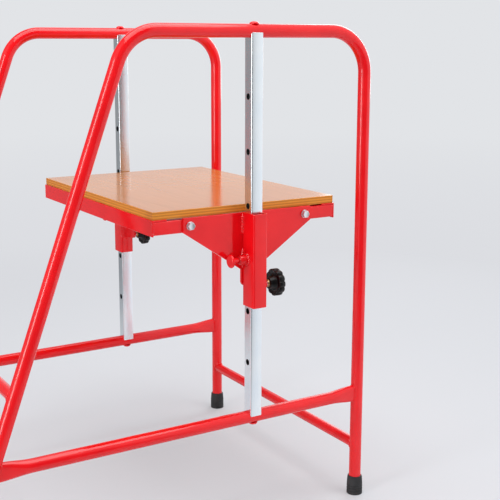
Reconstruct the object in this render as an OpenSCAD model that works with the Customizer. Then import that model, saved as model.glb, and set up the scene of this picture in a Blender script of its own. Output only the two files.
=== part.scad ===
// Work platform bench: a plywood deck on a welded frame that slides up and down two
// perforated square masts. Each mast stands in a red tubular end frame. A draw pin locks
// the deck at a mast hole and a star knob clamps its sleeve. Near is -Y and far is +Y;
// the upright legs are on the right (+X) and the raked, step-up legs on the left (-X).

/* [Deck] */
// Deck size across the step-up direction, X
deck_width = 400; // [300:5:600]
// Deck size between the end frames, Y
deck_length = 540; // [400:5:900]
// Plywood thickness
deck_thickness = 15; // [12:1:21]
// Height of the standing surface above the floor
deck_height = 640; // [600:5:700]

/* [Deck frame] */
// Leg length of the two side angles
angle_leg = 30; // [25:1:50]
// Steel thickness of the side angles
angle_wall = 3; // [2:0.5:5]
// How far the steel frame stands proud of the plywood edge
frame_proud = 2; // [0:0.5:4]
// Outside size of the square end rails
rail_size = 25; // [20:1:40]
// Wall of the square end rails
rail_wall = 2; // [1.5:0.5:3]

/* [Mast brackets] */
// Thickness of the gusset plates
gusset_thickness = 5; // [3:0.5:8]
// Width of a gusset plate at the top
gusset_top_width = 282; // [200:2:360]
// How far a gusset plate's tail shows beyond each side of the sleeve
gusset_tail_margin = 2.7; // [1:0.1:10]
// Distance from the deck surface to the straight lower end of the plate's short sides
gusset_side_drop = 42.5; // [35:0.5:60]
// Distance from the deck surface to the foot of the slanted edges
gusset_slant_drop = 124.7; // [100:0.1:140]
// Distance from the deck surface to the bottom of the tail
gusset_tail_drop = 158; // [145:1:180]
// Radius of the tail's two lower corners
gusset_corner_radius = 10; // [2:1:15]
// Gap between a mast and its sleeve on the three close sides
sleeve_clearance = 0.5; // [0.3:0.1:1.5]
// Extra gap on the side away from the deck
sleeve_play = 10; // [0:0.5:12]
// Wall of the sleeves
sleeve_wall = 2; // [1.5:0.1:2.2]
// Distance from the deck surface to the top of the sleeve
sleeve_top_drop = 14; // [10:1:20]
// Length of the sleeves
sleeve_length = 180; // [150:1:200]
// Thread size of the bolts that hold the gussets
gusset_bolt_size = 8; // [6:1:10]
// Distance of each gusset bolt from the mast
gusset_bolt_reach = 127; // [90:1:133]
// Distance from the deck surface to the gusset bolts
gusset_bolt_drop = 30; // [28:0.5:33]

/* [Masts] */
// Outside size of the square masts
mast_size = 25; // [20:0.5:32]
// Wall of the square masts
mast_wall = 1.5; // [1:0.1:2]
// Gap round a lock pin in a lock hole
hole_clearance = 1; // [0.3:0.1:1.5]
// Distance from one lock hole to the next
hole_pitch = 101.5; // [80:0.5:102]
// Lock holes below the one the deck rests at
holes_below = 2; // [1:1:2]
// Lock holes above the one the deck rests at
holes_above = 3; // [1:1:3]

/* [End frames] */
// Outside diameter of the round tubes
tube_diameter = 25; // [22:0.5:32]
// Wall of the round tubes
tube_wall = 1.5; // [1:0.1:2.5]
// Distance from the masts to the upright legs
right_reach = 255; // [235:1:320]
// Distance from the masts to the raked legs, at the top bar
left_reach = 252; // [235:1:320]
// Slope of the raked legs away from upright, in degrees
leg_rake = 20; // [0:1:25]
// Height of the top bars' centre line
top_bar_height = 960; // [950:1:1100]
// Centre-line radius of the weld elbows
bend_radius = 80; // [50:1:120]
// Height of the cross bars' centre line
cross_bar_height = 223.5; // [150:0.5:224]
// Height of a cross bar's end where it is pressed flat
flare_height = 35; // [26:0.5:40]
// Thickness of a cross bar's end where it is pressed flat
flare_thickness = 14; // [8:0.5:20]
// Length over which a cross bar widens
flare_length = 62; // [30:1:90]
// Outside diameter of the tubes between the end frames
stretcher_diameter = 22; // [18:0.5:24]
// Height of the floor-level stretchers' centre lines
stretcher_height = 110; // [60:1:112]
// Height of the step rung's centre line
rung_height = 350; // [300:1:400]

/* [Feet] */
// Outside diameter of the rubber feet
foot_diameter = 33; // [30:0.5:40]
// Length of the rubber feet along the leg
foot_length = 40; // [30:1:60]
// Rubber under the end of the tube
foot_sole = 10; // [8:0.5:15]

/* [Lock pins] */
// Diameter of the draw pins
pin_diameter = 10; // [8:0.5:12]
// Distance from the deck surface to the pins
pin_drop = 102.5; // [95:0.5:115]
// Gap between a mast and the tip of a drawn pin
pin_tip_gap = 1.1; // [0.5:0.1:2]
// Distance from a pin housing to its drawn pull disc
pull_gap = 15; // [14:0.5:25]
// Diameter of the pull discs
pull_diameter = 26; // [20:0.5:32]
// Thickness of the pull discs
pull_thickness = 6; // [4:0.5:10]
// Wall of the bushes that line the pin housings
bush_wall = 1.5; // [1:0.1:2.5]
// Wall of the welded pin housings
housing_wall = 2.5; // [2:0.5:5]
// Length of the welded pin housings
housing_length = 17; // [12:0.5:18]

/* [Star knobs] */
// Diameter over the lobes of a star knob
knob_diameter = 54; // [40:1:60]
// Lobes round a star knob
knob_lobes = 12; // [6:1:14]
// Diameter of one lobe
lobe_diameter = 9; // [6:0.5:10]
// Thickness of the lobed rim
knob_rim = 13; // [10:0.5:18]
// Diameter of the clamp stud
stud_diameter = 10; // [8:0.5:12]
// Distance from a clamp boss to the hub of its star knob
knob_gap = 6.5; // [4:0.5:12]
// Distance from the deck surface to the clamp stud
clamp_drop = 154.5; // [140:0.5:170]

/* [Hidden] */
$fn = 96;
// Smallest gap left between bodies that move past each other
air = 0.3;
// Radial clearance of a round part that turns or slides in a bore
running = 0.05;
// How far a cutting tool runs past the face it cuts
past = 1;
tube_r = tube_diameter / 2;
tube_bore_r = tube_r - tube_wall;
foot_r = foot_diameter / 2;
frame_half_x = deck_width / 2 + frame_proud;
frame_half_y = deck_length / 2 + frame_proud;
gusset_y = frame_half_y + gusset_thickness;
sleeve_width = mast_size + 2 * (sleeve_clearance + sleeve_wall);
sleeve_depth = sleeve_width + sleeve_play;
mast_y = gusset_y + sleeve_width / 2;
raked_foot_reach = left_reach + top_bar_height * tan(leg_rake);
// The masts stand off the middle so that the origin is the middle of the footprint
left_extent = raked_foot_reach + foot_r / cos(leg_rake);
right_extent = right_reach + foot_r;
mast_x = (left_extent - right_extent) / 2;
deck_under = deck_height - deck_thickness;
rail_top = deck_under - angle_wall;
sleeve_bottom = deck_height - sleeve_top_drop - sleeve_length;
pin_height = deck_height - pin_drop;
clamp_height = deck_height - clamp_drop;
sleeve_half = sleeve_width / 2;
mast_half = mast_size / 2;
bolt_height = deck_height - gusset_bolt_drop;
bolt_r = gusset_bolt_size / 2;
hex_flats = gusset_bolt_size * 1.625;
head_thickness = gusset_bolt_size * 0.66;
nut_thickness = gusset_bolt_size * 0.8;
washer_thickness = 1.6;
washer_r = gusset_bolt_size;
nut_y = frame_half_y - rail_size;
pin_r = pin_diameter / 2;
hole_r = pin_r + hole_clearance;
pin_tip_reach = mast_half + pin_tip_gap;
pull_reach = sleeve_half + housing_length + pull_gap;
bush_r = pin_r + bush_wall;
bush_flange = 1.5;
bush_flange_r = bush_r + 0.5;
housing_r = bush_r + housing_wall;
stud_r = stud_diameter / 2;
boss_length = 11.5;
pad_inner = mast_half + air;
pad_thickness = 2;
knob_hub_reach = sleeve_half + boss_length + knob_gap;
knob_hub_length = 11;
knob_rim_reach = knob_hub_reach + knob_hub_length;
mast_bolt_r = 4;
plug_length = 20;
lip = 3;
screw_r = 2.5;
red = [0.88, 0.06, 0.08];
zinc = [0.84, 0.85, 0.87];
black = [0.05, 0.05, 0.05];
plywood = [0.85, 0.62, 0.42];
brass = [0.80, 0.62, 0.35];
rubber = [0.09, 0.09, 0.09];

// Everything is set out from the masts' own middle plane, so each sub-part is moved with
// them; an end frame's parts are drawn for the far end and mirrored for the near one.
module far_end() {
    translate([mast_x, 0, 0]) children();
}

module near_end() {
    translate([mast_x, 0, 0]) mirror([0, 1, 0]) children();
}

// A cylinder along +X from the given point
module x_rod(start, length, radius) {
    translate(start) rotate([0, 90, 0]) cylinder(h = length, r = radius);
}

// A cylinder along +Y from the given point
module y_rod(start, length, radius) {
    translate(start) rotate([-90, 0, 0]) cylinder(h = length, r = radius);
}

// A hexagonal prism along its own Z, measured across the flats
module hexagon(flats, height) {
    cylinder(h = height, r = flats / 2 / cos(30), $fn = 6);
}

// Moves its children to the floor end of a raked leg, with Z up along the leg
module along_raked_leg() {
    translate([-raked_foot_reach, mast_y, 0]) rotate([0, leg_rake, 0]) children();
}

// The raked leg's distance from the masts at a height above the floor
function raked_reach(height) = left_reach + (top_bar_height - height) * tan(leg_rake);

// Where a bend of the given angle starts, measured from the corner of the centre lines
function tangent_length(angle) = bend_radius * tan(angle / 2);

module solid_right_leg() {
    translate([right_reach, mast_y, 0]) cylinder(h = top_bar_height, r = tube_r);
}

module solid_raked_leg() {
    along_raked_leg() cylinder(h = top_bar_height / cos(leg_rake), r = tube_r);
}

/* ---- End frames ---- */

// Upright leg: a plain tube from the rubber foot up to its bend
module right_leg() {
    bottom = foot_sole;
    top = top_bar_height - bend_radius;
    color(red) translate([right_reach, mast_y, bottom]) difference() {
        cylinder(h = top - bottom, r = tube_r);
        translate([0, 0, -past]) cylinder(h = top - bottom + 2 * past, r = tube_bore_r);
    }
}

// Raked leg: the same tube, leaning out to make the step-up side
module left_leg() {
    bottom = foot_sole + foot_r * tan(leg_rake) / 2;
    top = top_bar_height / cos(leg_rake) - tangent_length(90 - leg_rake);
    color(red) along_raked_leg() translate([0, 0, bottom]) difference() {
        cylinder(h = top - bottom, r = tube_r);
        translate([0, 0, -past]) cylinder(h = top - bottom + 2 * past, r = tube_bore_r);
    }
}

// Weld elbow about the origin, in the XZ plane, sweeping from +X up towards +Z
module elbow(angle) {
    rotate([90, 0, 0]) rotate_extrude(angle = angle) translate([bend_radius, 0])
        difference() {
            circle(r = tube_r);
            circle(r = tube_bore_r);
        }
}

// Right bend: elbow butt-welded between the upright leg and the top bar
module right_bend() {
    color(red)
        translate([right_reach - bend_radius, mast_y, top_bar_height - bend_radius]) elbow(90);
}

// Left bend: shallower elbow between the top bar and the raked leg
module left_bend() {
    angle = 90 - leg_rake;
    start = left_reach - tangent_length(angle);
    color(red) translate([-start, mast_y, top_bar_height - bend_radius])
        rotate([0, -90, 0]) elbow(angle);
}

// Top bar: straight tube over the mast, drilled for the mast bolt
module top_bar() {
    right = right_reach - bend_radius;
    left = left_reach - tangent_length(90 - leg_rake);
    color(red) difference() {
        x_rod([-left, mast_y, top_bar_height], left + right, tube_r);
        x_rod([-left - past, mast_y, top_bar_height], left + right + 2 * past, tube_bore_r);
        translate([0, mast_y, top_bar_height - tube_diameter])
            cylinder(h = 2 * tube_diameter, r = mast_bolt_r);
    }
}

// Solid that blends from round, at the origin, to a tall slot shape that leans against a
// leg; inset shrinks it all round and run carries both of its ends further out
module pressed_shape(lean, inset, run) {
    sheet = 0.1;
    half = flare_height / 2 - flare_thickness / 2;
    hull() {
        translate([-run, 0, 0]) rotate([0, 90, 0])
            cylinder(h = sheet, r = tube_r - inset, $fn = 48);
        translate([flare_length, 0, 0]) rotate([0, -lean, 0]) for (side = [-1, 1])
            translate([run - sheet, 0, side * half]) rotate([0, 90, 0])
                cylinder(h = sheet, r = flare_thickness / 2 - inset, $fn = 32);
    }
}

module pressed_end(lean) {
    difference() {
        pressed_shape(lean, 0, 0);
        pressed_shape(lean, tube_wall, past);
    }
}

// Bar ends: the last stretch of a cross bar, pressed tall and flat where it meets a leg
module bar_ends() {
    left = raked_reach(cross_bar_height) - tube_r / cos(leg_rake) - flare_length;
    right = right_reach - tube_r - flare_length;
    color(red) {
        translate([right, mast_y, cross_bar_height]) pressed_end(0);
        translate([-left, mast_y, cross_bar_height]) mirror([1, 0, 0]) pressed_end(leg_rake);
    }
}

// Cross bar: the round run between its pressed ends, drilled for the mast bolt
module cross_bar() {
    left = raked_reach(cross_bar_height) - tube_r / cos(leg_rake) - flare_length;
    right = right_reach - tube_r - flare_length;
    color(red) difference() {
        x_rod([-left, mast_y, cross_bar_height], left + right, tube_r);
        x_rod([-left - past, mast_y, cross_bar_height], left + right + 2 * past, tube_bore_r);
        translate([0, mast_y, cross_bar_height - tube_diameter])
            cylinder(h = 2 * tube_diameter, r = mast_bolt_r);
    }
}

// Mast: square tube with lock holes, its ends notched round the cross bar and top bar
module mast() {
    inner = mast_size - 2 * mast_wall;
    bottom = cross_bar_height + lip;
    height = top_bar_height - lip - bottom;
    color(zinc) difference() {
        translate([-mast_half, mast_y - mast_half, bottom])
            cube([mast_size, mast_size, height]);
        translate([-inner / 2, mast_y - inner / 2, bottom - past])
            cube([inner, inner, height + 2 * past]);
        x_rod([-mast_size, mast_y, cross_bar_height], 2 * mast_size, tube_r);
        x_rod([-mast_size, mast_y, top_bar_height], 2 * mast_size, tube_r);
        for (step = [-holes_below : holes_above])
            x_rod([-mast_size, mast_y, pin_height + step * hole_pitch], 2 * mast_size,
                  hole_r);
    }
}

// Mast plugs: threaded blocks in the two ends of a mast that take the fixing bolts
module mast_plugs() {
    side = mast_size - 2 * mast_wall;
    gap = 2;
    color(zinc) for (z = [cross_bar_height + tube_r + gap,
                          top_bar_height - tube_r - gap - plug_length])
        translate([0, mast_y, z]) difference() {
            translate([-side / 2, -side / 2, 0]) cube([side, side, plug_length]);
            translate([0, 0, -past]) cylinder(h = plug_length + 2 * past, r = mast_bolt_r);
        }
}

// Dome-headed bolt along +Z whose head sits below the origin
module dome_bolt(length) {
    head_r = 9;
    head_height = 5;
    dome_r = (head_r * head_r + head_height * head_height) / (2 * head_height);
    cylinder(h = length, r = mast_bolt_r);
    intersection() {
        translate([0, 0, dome_r - head_height]) sphere(r = dome_r);
        translate([0, 0, -head_height]) cylinder(h = head_height, r = head_r);
    }
}

// Mast bolts: one up through the cross bar and one down through the top bar
module mast_bolts() {
    length = tube_diameter + 2 + plug_length - 2;
    color(red) {
        translate([0, mast_y, cross_bar_height - tube_r]) dome_bolt(length);
        translate([0, mast_y, top_bar_height + tube_r]) mirror([0, 0, 1]) dome_bolt(length);
    }
}

// Rubber foot for a leg along Z: a cup with a thick sole and a bevelled mouth
module foot_cup(bottom) {
    difference() {
        union() {
            translate([0, 0, -foot_r]) cylinder(h = foot_r + foot_length - 6, r = foot_r);
            translate([0, 0, foot_length - 6]) cylinder(h = 6, r1 = foot_r, r2 = foot_r - 2);
        }
        translate([0, 0, bottom]) cylinder(h = foot_length, r = tube_r);
    }
}

module right_foot() {
    color(rubber) intersection() {
        translate([right_reach, mast_y, 0]) foot_cup(foot_sole);
        translate([right_reach - 2 * foot_r, mast_y - 2 * foot_r, 0])
            cube([4 * foot_r, 4 * foot_r, 2 * foot_length]);
    }
}

// The raked legs' feet are cut level with the floor
module left_foot() {
    color(rubber) intersection() {
        along_raked_leg() foot_cup(foot_sole + foot_r * tan(leg_rake) / 2);
        translate([-raked_foot_reach - 3 * foot_r, mast_y - 2 * foot_r, 0])
            cube([6 * foot_r, 4 * foot_r, 2 * foot_length]);
    }
}

/* ---- Tubes between the end frames ---- */

// A round tube along Y between two legs, coped round the legs given as children
module between_frames(reach, height) {
    radius = stretcher_diameter / 2;
    color(red) translate([mast_x, 0, 0]) difference() {
        y_rod([reach, -mast_y, height], 2 * mast_y, radius);
        y_rod([reach, -mast_y - past, height], 2 * mast_y + 2 * past, radius - tube_wall);
        children();
        mirror([0, 1, 0]) children();
    }
}

module right_stretcher() {
    between_frames(right_reach, stretcher_height) solid_right_leg();
}

module left_stretcher() {
    between_frames(-raked_reach(stretcher_height), stretcher_height) solid_raked_leg();
}

// Step rung: the foothold between the raked legs
module step_rung() {
    between_frames(-raked_reach(rung_height), rung_height) solid_raked_leg();
}

/* ---- Deck and its frame ---- */

// Places children at each deck screw: three along each side angle
module at_deck_screws() {
    for (side = [-1, 1], row = [-1, 0, 1])
        translate([mast_x + side * (deck_width / 2 - angle_leg / 2), row * deck_length / 2.7, 0])
            children();
}

// Deck: plywood sheet lying on the frame, with blind holes for the screws from below
module deck() {
    color(plywood) difference() {
        translate([mast_x - deck_width / 2, -deck_length / 2, deck_under])
            cube([deck_width, deck_length, deck_thickness]);
        at_deck_screws() translate([0, 0, deck_under - past])
            cylinder(h = deck_thickness - 4 + past, r = screw_r);
    }
}

// Side angle: one leg under the plywood and one hanging down outside the end rails
module side_angle() {
    difference() {
        translate([0, frame_half_y, 0]) rotate([90, 0, 0]) linear_extrude(2 * frame_half_y)
            polygon([[frame_half_x, deck_under],
                     [frame_half_x, deck_under - angle_leg],
                     [frame_half_x - angle_wall, deck_under - angle_leg],
                     [frame_half_x - angle_wall, rail_top],
                     [frame_half_x - angle_leg, rail_top],
                     [frame_half_x - angle_leg, deck_under]]);
        for (row = [-1, 0, 1])
            translate([deck_width / 2 - angle_leg / 2, row * deck_length / 2.7, rail_top - past])
                cylinder(h = angle_wall + 2 * past, r = screw_r);
    }
}

module right_side_angle() {
    color(red) translate([mast_x, 0, 0]) side_angle();
}

module left_side_angle() {
    color(red) translate([mast_x, 0, 0]) mirror([1, 0, 0]) side_angle();
}

// End rail: square tube across the deck frame, bored for the two gusset bolts
module end_rail() {
    half = frame_half_x - angle_wall;
    inner = rail_size - 2 * rail_wall;
    low = rail_top - rail_size;
    color(red) difference() {
        translate([-half, nut_y, low]) cube([2 * half, rail_size, rail_size]);
        translate([-half - past, nut_y + rail_wall, low + rail_wall])
            cube([2 * half + 2 * past, inner, inner]);
        for (side = [-1, 1])
            y_rod([side * gusset_bolt_reach, nut_y - past, bolt_height], 2 * rail_size, bolt_r);
    }
}

// Deck screws: round heads under the side angles, shanks up into the plywood
module deck_screws() {
    color(zinc) at_deck_screws() {
        translate([0, 0, rail_top - 3]) cylinder(h = 3, r1 = 3.5, r2 = 5);
        translate([0, 0, rail_top]) cylinder(h = angle_wall + deck_thickness - 4, r = screw_r);
    }
}

/* ---- Mast brackets ---- */

// Gusset: plate bolted to the end rail, tapering down to a tail behind the sleeve
module gusset() {
    top = gusset_top_width / 2;
    tail = sleeve_half + gusset_tail_margin;
    r = gusset_corner_radius;
    color(red) difference() {
        translate([0, gusset_y, deck_height]) rotate([90, 0, 0])
            linear_extrude(gusset_thickness)
                polygon([[top, -deck_thickness], [top, -gusset_side_drop],
                         [tail, -gusset_slant_drop],
                         for (a = [0 : 10 : 90]) [tail, -gusset_tail_drop]
                             + r * [cos(a) - 1, 1 - sin(a)],
                         for (a = [90 : -10 : 0]) [-tail, -gusset_tail_drop]
                             + r * [1 - cos(a), 1 - sin(a)],
                         [-tail, -gusset_slant_drop], [-top, -gusset_side_drop],
                         [-top, -deck_thickness]]);
        for (side = [-1, 1])
            y_rod([side * gusset_bolt_reach, frame_half_y - past, bolt_height],
                  gusset_thickness + 2 * past, bolt_r);
    }
}

// Sleeve: oblong tube that slides on the mast, bored for the lock pin and the clamp stud
// It fits the mast closely on three sides and has play away from the deck
module sleeve() {
    inner_width = sleeve_width - 2 * sleeve_wall;
    inner_depth = sleeve_depth - 2 * sleeve_wall;
    color(red) difference() {
        translate([-sleeve_half, gusset_y, sleeve_bottom])
            cube([sleeve_width, sleeve_depth, sleeve_length]);
        translate([-inner_width / 2, gusset_y + sleeve_wall, sleeve_bottom - past])
            cube([inner_width, inner_depth, sleeve_length + 2 * past]);
        x_rod([-sleeve_width, mast_y, pin_height], sleeve_width, pin_r + air);
        x_rod([0, mast_y, clamp_height], sleeve_width, stud_r + air);
    }
}

// Gusset bolts: hexagon heads on washers outside the plate, shanks through the end rail
module gusset_bolts() {
    color(zinc) for (side = [-1, 1]) {
        y_rod([side * gusset_bolt_reach, nut_y - nut_thickness - 2, bolt_height],
              gusset_y - nut_y + nut_thickness + 2, bolt_r);
        y_rod([side * gusset_bolt_reach, gusset_y, bolt_height], washer_thickness, washer_r);
        translate([side * gusset_bolt_reach, gusset_y + washer_thickness, bolt_height])
            rotate([-90, 0, 0]) hexagon(hex_flats, head_thickness);
    }
}

// Gusset nuts: on the inner face of the end rail
module gusset_nuts() {
    color(zinc) for (side = [-1, 1]) difference() {
        translate([side * gusset_bolt_reach, nut_y - nut_thickness, bolt_height])
            rotate([-90, 0, 0]) hexagon(hex_flats, nut_thickness);
        y_rod([side * gusset_bolt_reach, nut_y - 2 * nut_thickness, bolt_height],
              3 * nut_thickness, bolt_r);
    }
}

/* ---- Lock pins ---- */

// Pin housing: turned collar welded to the sleeve, its outer edge bevelled
module pin_housing() {
    bevel = 2;
    outer = sleeve_half + housing_length;
    color(red) translate([-outer, mast_y, pin_height]) rotate([0, 90, 0]) difference() {
        union() {
            cylinder(h = bevel, r1 = housing_r - bevel, r2 = housing_r);
            translate([0, 0, bevel])
                cylinder(h = housing_length - bevel, r = housing_r);
        }
        translate([0, 0, -past]) cylinder(h = housing_length + 2 * past, r = bush_r);
    }
}

// Pin bush: flanged nylon liner that holds the pin by friction
module pin_bush() {
    outer = sleeve_half + housing_length;
    color(black) translate([-outer, mast_y, pin_height]) rotate([0, 90, 0]) difference() {
        union() {
            cylinder(h = housing_length, r = bush_r);
            translate([0, 0, -bush_flange])
                cylinder(h = bush_flange, r = bush_flange_r);
        }
        translate([0, 0, -bush_flange - past])
            cylinder(h = housing_length + bush_flange + 2 * past, r = pin_r + running);
    }
}

// Lock pin: plain rod with a bevelled nose, shown drawn clear of the mast
module lock_pin() {
    bevel = 1;
    length = pull_reach + pull_thickness / 2 - pin_tip_reach;
    color(red) translate([-pin_tip_reach, mast_y, pin_height]) rotate([0, -90, 0]) {
        cylinder(h = bevel, r1 = pin_r - bevel, r2 = pin_r);
        translate([0, 0, bevel]) cylinder(h = length - bevel, r = pin_r);
    }
}

// Pin pull: disc with rounded rim, pressed on the outer end of the pin
module pin_pull() {
    rim = pull_thickness / 2;
    color(red) translate([-pull_reach - rim, mast_y, pin_height]) rotate([0, -90, 0])
        difference() {
            union() {
                translate([0, 0, -rim])
                    cylinder(h = pull_thickness, r = pull_diameter / 2 - rim);
                rotate_extrude() translate([pull_diameter / 2 - rim, 0]) circle(r = rim);
            }
            translate([0, 0, -rim - past]) cylinder(h = rim + past, r = pin_r);
        }
}

/* ---- Star knob clamps ---- */

// Clamp boss: hexagon nut welded to the sleeve, carrying the stud
module clamp_boss() {
    flats = 1.7 * stud_diameter;
    color(red) translate([sleeve_half, mast_y, clamp_height]) rotate([0, 90, 0])
        difference() {
            hexagon(flats, boss_length);
            translate([0, 0, -past])
                cylinder(h = boss_length + 2 * past, r = stud_r + running);
        }
}

// Clamp pad: soft button that presses the mast; it doesn't turn with the stud
module clamp_pad() {
    color(brass) x_rod([pad_inner, mast_y, clamp_height], pad_thickness, stud_r - 0.5);
}

// Clamp stud: screw from the pad out into the knob
module clamp_stud() {
    start = pad_inner + pad_thickness;
    color(zinc) x_rod([start, mast_y, clamp_height], knob_rim_reach - start + 4, stud_r);
}

// Star knob: lobed rim on a tapered hub that faces the sleeve
module star_knob() {
    lobe_r = lobe_diameter / 2;
    ring = knob_diameter / 2 - lobe_r;
    color(black) translate([knob_hub_reach, mast_y, clamp_height]) rotate([0, 90, 0])
        difference() {
            union() {
                cylinder(h = knob_hub_length, r1 = 11, r2 = 14);
                translate([0, 0, knob_hub_length]) cylinder(h = knob_rim, r = ring);
                for (lobe = [0 : knob_lobes - 1])
                    rotate(lobe * 360 / knob_lobes) translate([ring, 0, knob_hub_length])
                        cylinder(h = knob_rim, r = lobe_r, $fn = 48);
            }
            translate([0, 0, -past]) cylinder(h = knob_hub_length + 4 + past, r = stud_r);
        }
}

/* ---- Which sub-parts are drawn ---- */

near_end() right_leg();  // near_right_leg
far_end() right_leg();  // far_right_leg
near_end() left_leg();  // near_left_leg
far_end() left_leg();  // far_left_leg
near_end() right_bend();  // near_right_bend
far_end() right_bend();  // far_right_bend
near_end() left_bend();  // near_left_bend
far_end() left_bend();  // far_left_bend
near_end() top_bar();  // near_top_bar
far_end() top_bar();  // far_top_bar
near_end() cross_bar();  // near_cross_bar
far_end() cross_bar();  // far_cross_bar
near_end() bar_ends();  // near_bar_ends
far_end() bar_ends();  // far_bar_ends
near_end() mast();  // near_mast
far_end() mast();  // far_mast
near_end() mast_plugs();  // near_mast_plugs
far_end() mast_plugs();  // far_mast_plugs
near_end() mast_bolts();  // near_mast_bolts
far_end() mast_bolts();  // far_mast_bolts
right_stretcher();
left_stretcher();
step_rung();
near_end() right_foot();  // near_right_foot
far_end() right_foot();  // far_right_foot
near_end() left_foot();  // near_left_foot
far_end() left_foot();  // far_left_foot
deck();
left_side_angle();
right_side_angle();
near_end() end_rail();  // near_end_rail
far_end() end_rail();  // far_end_rail
deck_screws();
near_end() gusset();  // near_gusset
far_end() gusset();  // far_gusset
near_end() sleeve();  // near_sleeve
far_end() sleeve();  // far_sleeve
near_end() gusset_bolts();  // near_gusset_bolts
far_end() gusset_bolts();  // far_gusset_bolts
near_end() gusset_nuts();  // near_gusset_nuts
far_end() gusset_nuts();  // far_gusset_nuts
near_end() pin_housing();  // near_pin_housing
far_end() pin_housing();  // far_pin_housing
near_end() pin_bush();  // near_pin_bush
far_end() pin_bush();  // far_pin_bush
near_end() clamp_boss();  // near_clamp_boss
far_end() clamp_boss();  // far_clamp_boss
near_end() lock_pin();  // near_lock_pin
far_end() lock_pin();  // far_lock_pin
near_end() pin_pull();  // near_pin_pull
far_end() pin_pull();  // far_pin_pull
near_end() clamp_pad();  // near_clamp_pad
far_end() clamp_pad();  // far_clamp_pad
near_end() clamp_stud();  // near_clamp_stud
far_end() clamp_stud();  // far_clamp_stud
near_end() star_knob();  // near_star_knob
far_end() star_knob();  // far_star_knob
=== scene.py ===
import math

import bmesh
import bpy
from mathutils import Matrix, Vector


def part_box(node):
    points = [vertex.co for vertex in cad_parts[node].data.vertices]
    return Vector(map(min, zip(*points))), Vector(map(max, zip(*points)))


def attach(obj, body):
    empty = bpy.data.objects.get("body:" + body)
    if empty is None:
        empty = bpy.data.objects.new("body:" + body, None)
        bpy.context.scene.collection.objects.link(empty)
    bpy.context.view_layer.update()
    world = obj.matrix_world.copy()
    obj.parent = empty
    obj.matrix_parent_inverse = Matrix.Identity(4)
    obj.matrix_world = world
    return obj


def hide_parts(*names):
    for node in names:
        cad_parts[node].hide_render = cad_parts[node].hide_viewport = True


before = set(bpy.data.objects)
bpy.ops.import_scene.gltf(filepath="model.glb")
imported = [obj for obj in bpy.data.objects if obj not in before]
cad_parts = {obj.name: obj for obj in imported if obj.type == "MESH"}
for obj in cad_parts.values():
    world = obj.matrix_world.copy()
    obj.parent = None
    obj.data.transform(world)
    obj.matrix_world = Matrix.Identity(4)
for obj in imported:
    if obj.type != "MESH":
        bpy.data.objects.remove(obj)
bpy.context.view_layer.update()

# The studio: a pale floor that fades into an even pale surround, one broad soft lamp on
# each side and one overhead, and a long lens held a little above the deck.
MM = 0.001
SURROUND = (0.76, 0.775, 0.80, 1)


class Wire:
    """A socket in a node tree; arithmetic on it adds Math nodes."""

    def __init__(self, tree, socket=None):
        self.tree = tree
        self.socket = socket

    def node(self, kind, inputs=None, out=0, stops=None, **settings):
        made = self.tree.nodes.new(kind)
        for name, value in settings.items():
            setattr(made, name, value)
        if stops:
            ramp = made.color_ramp
            while len(ramp.elements) < len(stops):
                ramp.elements.new(0.5)
            for element, (place, shade) in zip(ramp.elements, stops):
                element.position = place
                element.color = shade
        for name, value in (inputs or {}).items():
            if isinstance(value, Wire):
                self.tree.links.new(value.socket, made.inputs[name])
            else:
                made.inputs[name].default_value = value
        return Wire(self.tree, made.outputs[out] if len(made.outputs) else None)

    def maths(self, operation, *values):
        return self.node("ShaderNodeMath", dict(enumerate(values)), operation=operation)

    def __add__(self, other):
        return self.maths("ADD", self, other)

    def __sub__(self, other):
        return self.maths("SUBTRACT", self, other)

    def __rsub__(self, other):
        return self.maths("SUBTRACT", other, self)

    def __mul__(self, other):
        return self.maths("MULTIPLY", self, other)

    def __gt__(self, other):
        return self.maths("GREATER_THAN", self, other)

    __radd__ = __add__
    __rmul__ = __mul__


def blank(name):
    material = bpy.data.materials.new(name)
    material.use_nodes = True
    material.node_tree.nodes.clear()
    return material, Wire(material.node_tree)


def walls(sheet, heading):
    """How brightly gloss mirrors the studio's walls: lit panels with dim corners between."""
    x = sheet.node("ShaderNodeSeparateXYZ", {"Vector": heading}, out="X")
    y = sheet.node("ShaderNodeSeparateXYZ", {"Vector": heading}, out="Y")
    turn = sheet.maths("ARCTAN2", y, x) * (0.5 / math.pi) + 0.5
    panels = [(-180, 0.80), (-152, 0.80), (-128, 0.16), (-69, 0.14), (-65, 0.80)]
    panels += [(-48, 1.0), (30, 1.0), (76, 0.80), (98, 0.32), (140, 0.28), (160, 0.80)]
    stops = [(bearing / 360 + 0.5, (level, level, level, 1)) for bearing, level in panels]
    return sheet.node("ShaderNodeValToRGB", {"Fac": turn}, stops=stops) * 1.25


world = bpy.data.worlds.new("surround")
bpy.context.scene.world = world
world.use_nodes = True
world.node_tree.nodes.clear()
sheet = Wire(world.node_tree)
seen = sheet.node("ShaderNodeLightPath", out="Is Camera Ray")
mirrored = sheet.node("ShaderNodeLightPath", out="Is Glossy Ray")
through = sheet.node("ShaderNodeLightPath", out="Is Transmission Ray")
pale = sheet.maths("MINIMUM", seen + through, 1.0)
heading = sheet.node("ShaderNodeTexCoord", out="Generated")
strength = 0.64 + pale * 0.36 + mirrored * (walls(sheet, heading) - 0.64)
backdrop = sheet.node("ShaderNodeBackground", {"Color": SURROUND, "Strength": strength})
sheet.node("ShaderNodeOutputWorld", {"Surface": backdrop})

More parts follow.
